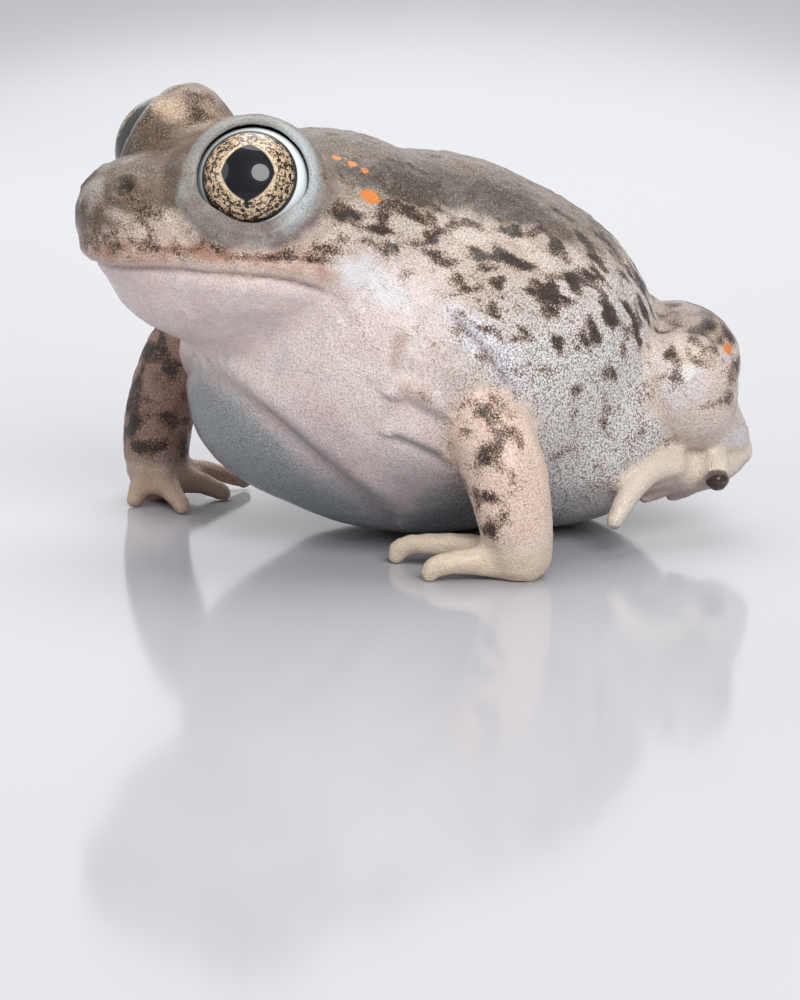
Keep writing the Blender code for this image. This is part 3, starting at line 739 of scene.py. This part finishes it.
def paintSkin(skin):
    colours = skinColours
    points = pointsOf(skin)
    normals = normalsOf(skin)
    onRight = points[:, 0] < skinPlan["middle"] * mm
    spots = seenSpots(points)
    ownSpots = seenSpots(points, mirrored=False)
    px, py = spots[:, 0], spots[:, 1]
    wide, small, tiny = (noiseField(points, *values) for values in wobbles.values())
    up = normals[:, 2] + 0.18 * wide
    facing = zone("facing", facingView(points, normals))
    wobble = 0.55 * small + 0.25 * wide + 0.30 * tiny

    def soft(part, *starts):
        return spread(skin, ownedBy(*starts), softEdges[part])

    # trunk
    dorsal = zone("backUp", up) * zone("backLine", lineDistance(spots, backLine) + 8 * wide + 7 * small)
    tint = np.tile(np.array(colours["flank"]), (len(points), 1))
    low = zone("lowFlank", py + 0.35 * px + 18 * wide) * zone("lowFlankFront", px)
    tint = blend(tint, colours["lowFlank"], low)
    tint = blend(tint, colours["back"], dorsal)
    crease = lineDistance(spots, foldPlan["chest"]["line"]) + 6 * small + 10 * wide
    inFront = zone("chestRear", px + 10 * wide) * zone("chestTop", py + 10 * wide)
    tint = blend(tint, colours["chest"], inFront * (1 - dorsal))
    bellySide = zone("belly", crease) * zone("bellyTop", py) * zone("bellyRear", px)
    # painted shade: darker at the bottom of the chest and beside the chest crease
    lowChestShade = zone("lowChestShade", py + 0.25 * px + 12 * wide) * zone("lowChestRear", px)
    creaseShade = zone("crease", crease) * zone("creaseTop", py) * zone("creaseRear", px)
    tint = blend(tint, colours["lowChestShade"], np.maximum(lowChestShade, 0.7 * creaseShade))
    # painted shade: the belly's blue-grey, partly its own colour and partly shade, below the chest crease and
    # on the underside that faces down
    shadedUnderside = zone("shadedUnderside", -up) * (1 - 0.6 * zone("undersideRear", px))
    belly = np.maximum(bellySide, shadedUnderside) * soft("torso", "torso")
    tint = blend(tint, colours["belly"], belly * 0.9)

    # head
    head = soft("head", "head")
    jaw = soft("jaw", "lower_jaw")
    above = aboveMouth(points)
    top = zone("headTop", -lineDistance(spots, browLine) + 9 * wide + 6 * small)
    headTint = np.tile(np.array(colours["cheek"]), (len(points), 1))
    headTint = blend(headTint, colours["upperLip"], zone("upperLip", above))
    rustyLip = bell(above - mouthPlan["rustAbove"], mouthPlan["rustWidth"]) * zone("rustyLip", px)
    headTint = blend(headTint, colours["rust"], rustyLip * np.clip(0.55 + 0.9 * small, 0, 1))
    headTint = blend(headTint, colours["headTop"], top)
    # painted sheen on the top and tip of the snout
    sheen = markWeight(spots, browSheen, 0.3 * small) * head
    headTint = blend(headTint, colours["browSheen"], sheen)
    # painted shade in the hollow before each eye
    headTint = blend(headTint, colours["browShade"], markWeight(spots, browShade, 0.3 * small) * 0.85)
    tint = tint * (1 - head[:, None]) + headTint * head[:, None]
    tint = tint * (1 - jaw[:, None]) + np.array(colours["throat"]) * jaw[:, None]

    # lids and mouth
    lids, lidTop, lidLow, lidRear = np.zeros((4, len(points)))
    for side, word in sides:
        local = eyeFrame(points, side, word, eyePlan["turnOut"])
        ring = np.hypot(local[:, 0], local[:, 1])
        near = zone("nearEye", lengths(local)) * zone("frontOfEye", local[:, 2])
        under = zone("underEye", -local[:, 1])
        lids = np.maximum(lids, near * zone("lidRim", ring - 0.5 * under))
        lidLow = np.maximum(lidLow, near * under)
        lidRear = np.maximum(lidRear, near * zone("behindEye", local[:, 0]) * zone("rearRim", ring))
        lidTop = np.maximum(lidTop, zone("lidTop", lengths(local - np.array(lidTopPlace))))
    tint = blend(tint, colours["lid"], lids * 0.9)
    tint = blend(tint, colours["lidLow"], lids * lidLow * np.clip(0.72 + 0.6 * small, 0, 1))
    tint = blend(tint, colours["lidRear"], lids * lidRear * 0.85)
    tint = blend(tint, colours["lidLight"], lidTop * 0.5 * (1 - lids))
    frontOfJaw = zone("mouthFront", points[:, 1] / mm - mouthPlan["corner"])
    mouth = bell(above, mouthPlan["width"]) * frontOfJaw * np.clip(head + jaw, 0, 1)
    tint = blend(tint, colours["mouth"], mouth * 0.7)

    # limbs
    leftArm = soft("leftArm", "upper_arm_left", "forearm_left")
    rightArm = soft("rightArm", "upper_arm_right", "forearm_right")
    handsAndFeet = soft("hands", "hand", "foot")
    feet = soft("feet", "foot")
    legs = soft("legs", "thigh", "shank")
    tint = blend(tint, colours["arm"], leftArm)
    # the far arm and hand take darker copies of the near ones' colours, as painted shade
    tint = blend(tint, colours["farArmInShade"], rightArm)
    tint = blend(tint, colours["leg"], legs)
    tint = blend(tint, colours["hand"], handsAndFeet)
    tint = blend(tint, colours["farHandInShade"], soft("hands", "hand_right"))
    tint = blend(tint, colours["foot"], feet)
    tint = blend(tint, colours["sole"], zone("sole", -normals[:, 2]) * feet)
    legTop = legs * zone("legTop", py + 12 * wide) * zone("legTopRear", px)
    tint = blend(tint, colours["legTop"], legTop * 0.8)

    # light, dark and coloured marks
    trunk = soft("trunk", "torso", "head")
    flesh = np.clip(trunk + legs, 0, 1)
    tint = blend(tint, colours["bluish"], markWeight(spots, bluishMarks, 0.35 * small) * trunk * facing)
    rust = markWeight(spots, rustMarks, 0.5 * small + 0.3 * tiny)
    tint = blend(tint, colours["rust"], rust * trunk * facing * 0.55)
    # white patches, and painted highlights on the knee and the heel
    whitesAndHighlights = markWeight(spots, whiteMarksAndHighlights, 0.35 * small + 0.2 * tiny, "firm")
    tint = blend(tint, colours["white"], whitesAndHighlights * flesh * facing)
    sideLine = bell(lineDistance(spots, foldPlan["sideFold"]["line"]), sideLineWidth)
    tint = blend(tint, colours["purple"], sideLine * trunk * facing * 0.6)
    band = markWeight(spots, bandMarks, 0.3 * wide + 0.4 * small + 0.3 * tiny, "sharp")
    tint = blend(tint, colours["band"], band * trunk * (1 - head))
    pale = markWeight(spots, paleMarks, 0.30 * small) * facing
    tint = blend(tint, colours["cheek"], pale * 0.85 * head)
    palePatch = markWeight(ownSpots, farLidPale, 0.3 * small) * head * onRight
    tint = blend(tint, colours["lidLight"], palePatch)
    tint = blend(tint, colours["paleTrunk"], pale * 0.8 * trunk * (1 - head))
    orange = np.zeros(len(points))
    mirrored = points / mm
    mirrored[:, 0] = skinPlan["middle"] + np.abs(mirrored[:, 0] - skinPlan["middle"])
    for place, size, strength in orangeSpots:
        distance = lengths(mirrored - np.array(place)) / size + 0.5 * tiny + 0.3 * small
        orange = np.maximum(orange, strength * ramp(distance, *markEdges["firm"]))
    # painted shade inside each nostril
    inward = np.array(nostrilInward)
    for centre in nostrilPlan["places"]:
        offset = points / mm - np.array(centre)
        aside = lengths(offset - (offset @ inward)[:, None] * inward)
        nostrilShade = bell(aside, nostrilSpread * nostrilPlan["size"]) * zone("nostril", lengths(offset))
        tint = blend(tint, colours["nostril"], nostrilShade)

    # the net of dark blotches, from noise and from the placed marks
    rearward = zone("rearward", points[:, 1] / mm)
    flow = {name: flowField(points, *values) for name, values in flows.items()}
    bodyFlow = flow["front"] * (1 - rearward) + flow["rear"] * rearward + 0.45 * flow["fine"]
    headFlow = flow["head"] + 0.4 * flow["fineHead"]
    upper = zone("net", up) * (1 - 0.35 * dorsal) * zone("netLow", py + 10 * wide)
    trunkNet = trunk * np.maximum(upper, 0.45 * low * (1 - dorsal)) * (0.20 + 1.15 * bodyFlow)
    headNet = np.minimum(0.26 + 0.06 * top + 1.25 * headFlow * (1 - 0.5 * top), 0.46)
    legShade = np.maximum(zone("legNet", normals[:, 2]), zone("legNetRear", px)) * zone("legNetLow", py)
    armShade = zone("armNet", normals[:, 2] - normals[:, 1])
    net = np.maximum.reduce([
        trunkNet * (1 - 0.8 * inFront) * (1 - head),
        head * zone("cheekNet", above) * headNet,
        legs * legShade * (0.30 + 0.9 * small),
        rightArm * (0.26 + 0.9 * small + 0.3 * wide),
        leftArm * armShade * (0.20 + 0.6 * small),
    ])
    placed = np.maximum.reduce([
        markWeight(spots, blotchMarks, wobble) * facing * (1 - leftArm),
        markWeight(ownSpots, armMarks, 0.5 * small + 0.5 * tiny) * leftArm,
        markWeight(ownSpots, farArmMarks, wobble) * rightArm,
        markWeight(ownSpots, farLidMarks, 0.5 * wobble) * head * onRight,
    ])
    net = np.clip(net, 0, 1) * (1 - 0.85 * np.maximum.reduce([pale, palePatch, sheen]))
    blotch = net + placed * (0.68 - 0.33 * head - 0.14 * leftArm)
    blotch = blotch * (1 - belly) * (1 - 0.75 * lids) * (1 - jaw) * (1 - 0.8 * handsAndFeet) * (1 - band)

    # how strongly each pattern of the material shows
    contrast = trunk * (0.48 + 0.34 * low * (1 - dorsal) + 0.15 * belly - 0.24 * inFront) * (1 - 0.3 * head)
    contrast = contrast * (1 - 0.85 * whitesAndHighlights) + 0.30 * legs + 0.32 * leftArm + 0.40 * rightArm
    contrast = (contrast + 0.18 * jaw + 0.08 * handsAndFeet) * (1 - 0.6 * lids)
    # where the pale stipple shows, partly the skin's own and partly painted sheen: the top of the back and of
    # the head
    stipple = trunk * (0.8 * dorsal * (1 - head) * (1 - 0.9 * band) + 0.25 * head * top) * (1 - lids)
    blush = np.clip(jaw + trunk * inFront + 0.5 * legs + 0.6 * leftArm, 0, 1) * (1 - belly)
    wet = 0.9 * lids + head * (0.35 + 0.30 * top) + 0.8 * legs + 0.5 * handsAndFeet
    wet = wet + 0.6 * belly + 0.3 * trunk
    layers = dict(
        wet=wet, tint=tint, blotch=blotch, contrast=contrast, stipple=stipple, blush=blush, orange=orange,
    )
    for name, values in layers.items():
        store(skin, name, values)


def thinOut(skin):
    thin = skin.modifiers.new("thin out", "DECIMATE")
    thin.ratio = skinPlan["kept"]
    bakeModifiers(skin)
    skin.data.shade_smooth()


paintSkin(skin)
thinOut(skin)
print("skin painted,", len(skin.data.polygons), "faces")


# shader wiring
def maths(operation, reflected=False):
    def method(wire, other):
        first, second = (other, wire) if reflected else (wire, other)
        return wire.paint.node("ShaderNodeMath", dict(operation=operation), {0: first, 1: second})
    return method


class Wire:
    __add__, __radd__ = maths("ADD"), maths("ADD", True)
    __sub__, __rsub__ = maths("SUBTRACT"), maths("SUBTRACT", True)
    __mul__, __rmul__ = maths("MULTIPLY"), maths("MULTIPLY", True)
    __truediv__, __rtruediv__ = maths("DIVIDE"), maths("DIVIDE", True)

    def __init__(self, paint, socket):
        self.paint = paint
        self.socket = socket


class Paint:
    def __init__(self, name, roughness, **constants):
        self.material = bpy.data.materials.new(name)
        self.material.use_nodes = True
        self.tree = self.material.node_tree
        self.shader = self.tree.nodes["Principled BSDF"]
        self.shader.inputs["Roughness"].default_value = roughness
        for key, value in constants.items():
            self.shader.inputs[key.replace("_", " ")].default_value = value

    def node(self, kind, settings, sockets, output=0):
        node = self.tree.nodes.new(kind)
        for key, value in settings.items():
            setattr(node, key, value)
        for key, value in sockets.items():
            if isinstance(value, Wire):
                self.tree.links.new(value.socket, node.inputs[key])
            else:
                node.inputs[key].default_value = value
        return Wire(self, node.outputs[output])

    def place(self):
        return self.node("ShaderNodeTexCoord", {}, {}, "Object")

    def value(self, name, output="Fac"):
        return self.node("ShaderNodeAttribute", dict(attribute_name=name), {}, output)

    def part(self, vector, axis):
        return self.node("ShaderNodeSeparateXYZ", {}, {0: vector}, axis)

    # how far a point given by two wires lies from the middle
    def length(self, x, y):
        flat = self.node("ShaderNodeCombineXYZ", {}, {0: x, 1: y})
        return self.node("ShaderNodeVectorMath", dict(operation="LENGTH"), {0: flat}, 1)

    def size(self, value):
        return self.node("ShaderNodeMath", dict(operation="ABSOLUTE"), {0: value})

    def grain(self, size, detail=2.0, rough=0.5, bend=0.0, place=None):
        sockets = {"Scale": 1 / (size * mm), "Detail": detail, "Roughness": rough, "Distortion": bend}
        sockets["Vector"] = place or self.place()
        return self.node("ShaderNodeTexNoise", {}, sockets, "Fac")

    def cells(self, size):
        sockets = {"Scale": 1 / (size * mm), "Vector": self.place()}
        return self.node("ShaderNodeTexVoronoi", dict(feature="F1"), sockets, "Distance")

    def step(self, value, low, high):
        settings = dict(interpolation_type="SMOOTHSTEP", clamp=True)
        return self.node("ShaderNodeMapRange", settings, {"Value": value, 1: low, 2: high, 3: 0.0, 4: 1.0})

    def mix(self, first, second, share, way="MIX"):
        first = first if isinstance(first, Wire) else (*first, 1)
        second = second if isinstance(second, Wire) else (*second, 1)
        settings = dict(data_type="RGBA", blend_type=way)
        return self.node("ShaderNodeMix", settings, {0: share, 6: first, 7: second}, 2)

    def bump(self, height, distance, strength):
        sockets = {"Height": height, "Distance": distance * mm, "Strength": strength}
        return self.node("ShaderNodeBump", {}, sockets)

    def put(self, key, wire):
        self.tree.links.new(wire.socket, self.shader.inputs[key])


# noise is size in millimetres, detail, roughness and bend; a step says where a colour begins and is full
skinFinish = dict(
    roughness=0.36,
    gloss=dict(Coat_Weight=0.26, Coat_Roughness=0.14, Specular_IOR_Level=0.32),
    flesh=dict(Subsurface_Weight=0.10, Subsurface_Radius=(1.0, 0.45, 0.3), Subsurface_Scale=0.25 * mm),
    grain=(0.090, 2.0, 0.6),
    cellSize=0.14,
    net=(0.9, 3.0, 0.6, 0.6),
    cloud=(2.4, 3.0, 0.6, 0.4),
    coolCloud=(1.7, 3.0, 0.65, 0.3),
    blush=(0.66, 0.36, 0.34),
    blushStep=(0.62, 0.95),
    cool=(0.46, 0.49, 0.55),
    coolStep=(0.54, 0.72),
    shadow=(0.23, 0.20, 0.19),
    shadowStep=(-0.06, 0.42),
    light=(1.0, 0.98, 0.94),
    lightStep=(0.10, 0.50),
    brown=(0.230, 0.128, 0.074),
    brownStep=(0.12, 0.52),
    dark=(0.028, 0.016, 0.010),
    darkStep=(0.34, 0.80),
    paleStippleAndSheen=(0.74, 0.70, 0.64),
    paleStippleAndSheenStep=(0.16, 0.50),
    orange=(0.80, 0.26, 0.05),
    orangeStep=(0.30, 0.60),
    wetStep=(0.30, 0.65),
    wetGloss=0.20,
    bump=(0.07, 0.85),
)


def skinMaterial():
    plan = skinFinish
    paint = Paint("toad skin", plan["roughness"], **plan["gloss"], **plan["flesh"])

    def step(value, name):
        return paint.step(value, *plan[name + "Step"])

    # granules of the skin, from -1 to 1: pale on top and dark between, partly the skin's own speckle and
    # partly painted light and shade
    grain = paint.grain(*plan["grain"])
    cells = paint.cells(plan["cellSize"])
    granules = (grain - 0.5) * 2.6 + (0.42 - cells) * 0.9
    net = paint.grain(*plan["net"])
    cloud = paint.grain(*plan["cloud"])
    contrast = paint.value("contrast")
    colour = paint.value("tint", "Color")
    colour = paint.mix(colour, plan["blush"], step(cloud + net * 0.5, "blush") * paint.value("blush") * 0.22)
    cool = step(paint.grain(*plan["coolCloud"]), "cool") * paint.value("blush")
    colour = paint.mix(colour, plan["cool"], cool * 0.30)
    # painted shade in the hollows between the granules, together with the fine dark speckle
    hollows = step(granules * -1.0, "shadow") * (contrast + 0.08)
    colour = paint.mix(colour, plan["shadow"], hollows, "MULTIPLY")
    # pale granule tops, partly painted highlight
    colour = paint.mix(colour, plan["light"], step(granules, "light") * (contrast * 0.42 + 0.04))
    blotch = paint.value("blotch")
    density = blotch + (net - 0.5) * 0.50 - granules * (blotch * 0.60 + 0.20)
    colour = paint.mix(colour, plan["brown"], step(density, "brown") * 0.78)
    colour = paint.mix(colour, plan["dark"], step(density, "dark") * 0.95)
    # pale stipple, brightened to stand for painted sheen along the top of the back
    paleStippleAndSheen = step(granules + (net - 0.5) * 0.5, "paleStippleAndSheen") * paint.value("stipple")
    colour = paint.mix(colour, plan["paleStippleAndSheen"], paleStippleAndSheen * 0.50)
    colour = paint.mix(colour, plan["orange"], step(paint.value("orange") + granules * 0.25, "orange"))
    paint.put("Base Color", colour)
    wet = paint.value("wet") * (step(cloud, "wet") * 0.5 + 0.5)
    paint.put("Roughness", plan["roughness"] - plan["wetGloss"] * wet - granules * 0.05)
    paint.put("Normal", paint.bump(granules + net * 0.6, *plan["bump"]))
    return paint.material


skin.data.materials.append(skinMaterial())
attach(skin, "root")
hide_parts(*fleshNodes)
print("skin finished")


# eyes: edges across the iris are shares of its radius, other places are in millimetres
eyeFinish = dict(
    roughness=0.30,
    gloss=dict(Specular_IOR_Level=0.1, Coat_Weight=1.0, Coat_Roughness=0.015, Coat_IOR=1.45),
    gold=(0.66, 0.48, 0.31),
    paleGold=(0.86, 0.68, 0.47),
    vein=(0.026, 0.017, 0.013),
    pupil=(0.004, 0.004, 0.009),
    rim=(0.02, 0.018, 0.018),
    white=(0.90, 0.96, 0.98),
    # the far eye's white is the near eye's made dark, as painted shade
    whiteEdge=dict(left=(0.62, 0.66, 0.68), right=(0.05, 0.052, 0.055)),
    whiteInShade=(0.08, 0.085, 0.09),
    whiteShare=dict(left=1.0, right=0.12),
    net=(156.0, 3.0, 0.65, 1.1),
    streaks=(333.0, 2.0, 0.5, 0.4),
    rayPace=(1.9, 2.3),
    veinStep=(0.475, 0.535),
    inner=(0.70, 0.56),
    outer=(0.80, 0.97),
    rimEdge=(0.93, 0.985),
    whiteStart=(1.005, 1.03),
    whiteAcross=(-0.6, 1.8),
    whiteForward=(0.4, 1.3),
    goldStep=(0.1, 0.75),
    pupilEdge=(1.03, 0.96),
    pupilRound=0.72,
    pupilDiamond=0.25,
    notchLean=0.12,
    notchAside=0.24,
    notchAcross=(0.17, 0.08),
    notchLow=(-2.10, -2.0),
    notchHigh=(-1.2, -1.4),
    bump=(0.02, 0.25),
)


def eyeMaterial(word):
    plan = eyeFinish
    paint = Paint("toad eye " + word, plan["roughness"], **plan["gloss"])
    local = paint.value("eyeSpot", "Vector")
    across, upward, forward = (paint.part(local, axis) for axis in range(3))
    distance = paint.length(across, upward)

    def ringStep(name):
        start, end = plan[name]
        return paint.step(distance, eyePlan["irisRadius"] * start, eyePlan["irisRadius"] * end)

    # the gold iris with its dark net
    angle = paint.node("ShaderNodeMath", dict(operation="ARCTAN2"), {0: upward, 1: across})
    turning, outward = plan["rayPace"]
    rays = paint.node("ShaderNodeCombineXYZ", {}, {0: angle * turning, 1: distance * outward})
    net = paint.grain(*plan["net"], place=local)
    streaks = paint.grain(*plan["streaks"], place=rays)
    veins = paint.step(net * 0.6 + streaks * 0.4, *plan["veinStep"])
    inner, outer = ringStep("inner"), ringStep("outer")
    gold = paint.mix(plan["gold"], plan["paleGold"], inner * 0.8)
    clear = paint.step(veins + inner * 0.5 - outer * 0.42, *plan["goldStep"])
    colour = paint.mix(plan["vein"], gold, clear)
    colour = paint.mix(colour, plan["rim"], ringStep("rimEdge"))

    # the pupil, between round and diamond shaped, and the notch below it
    pupilX = across / eyePlan["pupilWidth"]
    pupilY = upward / eyePlan["pupilHeight"]
    diamond = (paint.size(pupilX) + paint.size(pupilY)) * plan["pupilDiamond"]
    shape = paint.length(pupilX, pupilY) * plan["pupilRound"] + diamond
    colour = paint.mix(colour, plan["pupil"], paint.step(shape, *plan["pupilEdge"]))
    fromNotch = paint.size(across + upward * plan["notchLean"] + plan["notchAside"])
    narrow = paint.step(fromNotch, *plan["notchAcross"])
    notch = narrow * paint.step(upward, *plan["notchLow"]) * paint.step(upward, *plan["notchHigh"])
    colour = paint.mix(colour, plan["pupil"], notch)

    # the white round the iris, darkened as painted shade where the ball turns back under the lids; the far
    # eye's white is a darker copy, as painted shade
    whiteShare = paint.step(across, *plan["whiteAcross"]) * plan["whiteShare"][word]
    white = paint.mix(plan["whiteEdge"][word], plan["white"], whiteShare)
    white = paint.mix(plan["whiteInShade"], white, paint.step(forward, *plan["whiteForward"]))
    colour = paint.mix(colour, white, ringStep("whiteStart"))
    paint.put("Base Color", colour)
    paint.put("Normal", paint.bump(veins, *plan["bump"]))
    return paint.material


def makeEye(side, word):
    bm = bmesh.new()
    bmesh.ops.create_uvsphere(
        bm, u_segments=eyePlan["ballSegments"], v_segments=eyePlan["ballRings"], radius=eyeRadius(word),
    )
    forward = outAndUp(eyePlan["gazeOut"], eyePlan["turnUp"], side)
    turn = forward.to_track_quat("Z", "Y").to_matrix().to_4x4()
    bm.transform(Matrix.Translation(eyeCentre(word)) @ turn)
    eye = meshObject("eyeball_" + word, bm)
    local = eyeFrame(pointsOf(eye), side, word, eyePlan["gazeOut"])
    layer = eye.data.attributes.new("eyeSpot", "FLOAT_VECTOR", "POINT")
    layer.data.foreach_set("vector", local.astype(np.float32).ravel())
    eye.data.shade_smooth()
    eye.data.materials.append(eyeMaterial(word))
    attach(eye, "root")
    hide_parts("eye_" + word)


for side, word in sides:
    makeEye(side, word)
print("eyes made")


# spades
hornFinish = dict(
    dark=(0.035, 0.022, 0.015),
    pale=(0.12, 0.075, 0.048),
    roughness=0.30,
    coat=0.3,
    ringSize=0.25,
    ringStep=(0.5, 0.75),
    bump=(0.03, 0.4),
)


def hornMaterial():
    plan = hornFinish
    paint = Paint("spade horn", plan["roughness"], Coat_Weight=plan["coat"])
    rings = paint.grain(plan["ringSize"])
    paint.put("Base Color", paint.mix(plan["dark"], plan["pale"], paint.step(rings, *plan["ringStep"])))
    paint.put("Normal", paint.bump(rings, *plan["bump"]))
    return paint.material


horn = hornMaterial()
for _, word in sides:
    spade = meshObject("horn_" + word, nodeCopy("spade_" + word))
    spade.data.shade_smooth()
    spade.data.materials.append(horn)
    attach(spade, "root")
    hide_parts("spade_" + word)
print("spades made")


# floor, light and backdrop
studioPlan = dict(
    floorColour=(0.46, 0.46, 0.49),
    floorPale=(0.50, 0.50, 0.53),
    floorRoughness=0.11,
    floorShine=0.28,
    floorSize=3.0,
    cloudSize=120.0,
    cloudStep=(0.3, 0.7),
    # azimuth and elevation in degrees, distance and size in metres, power in watts
    lights=dict(
        key=(83, 36, 0.6, 0.36, 2.7),
        top=(235, 72, 0.55, 0.5, 2.2),
        back=(244, 30, 0.6, 0.6, 0.7),
        side=(350, 24, 0.6, 0.4, 0.6),
    ),
    lightsAim=10 * mm,
    world=(0.92, 0.93, 0.96),
    worldStrength=0.38,
)


def makeFloor():
    plan = studioPlan
    bm = bmesh.new()
    bmesh.ops.create_grid(bm, x_segments=1, y_segments=1, size=plan["floorSize"])
    floor = meshObject("floor", bm)
    paint = Paint("table gloss", plan["floorRoughness"], Specular_IOR_Level=plan["floorShine"])
    cloud = paint.step(paint.grain(plan["cloudSize"], 1.0), *plan["cloudStep"])
    paint.put("Base Color", paint.mix(plan["floorColour"], plan["floorPale"], cloud))
    floor.data.materials.append(paint.material)


def softLight(name, azimuth, elevation, distance, size, power):
    data = bpy.data.lights.new(name, "AREA")
    data.shape = "DISK"
    data.size = size
    data.energy = power
    light = bpy.data.objects.new(name, data)
    out = outAndUp(azimuth, elevation, 1)
    light.rotation_mode = "QUATERNION"
    light.rotation_quaternion = out.to_track_quat("Z", "Y")
    light.location = out * distance + Vector((0, 0, studioPlan["lightsAim"]))
    bpy.context.scene.collection.objects.link(light)


makeFloor()
for name, values in studioPlan["lights"].items():
    softLight(name, *values)
world = bpy.data.worlds.new("studio")
world.use_nodes = True
background = world.node_tree.nodes["Background"]
background.inputs["Color"].default_value = (*studioPlan["world"], 1)
background.inputs["Strength"].default_value = studioPlan["worldStrength"]
bpy.context.scene.world = world
bpy.context.scene.view_settings.view_transform = "Standard"
print("studio ready")
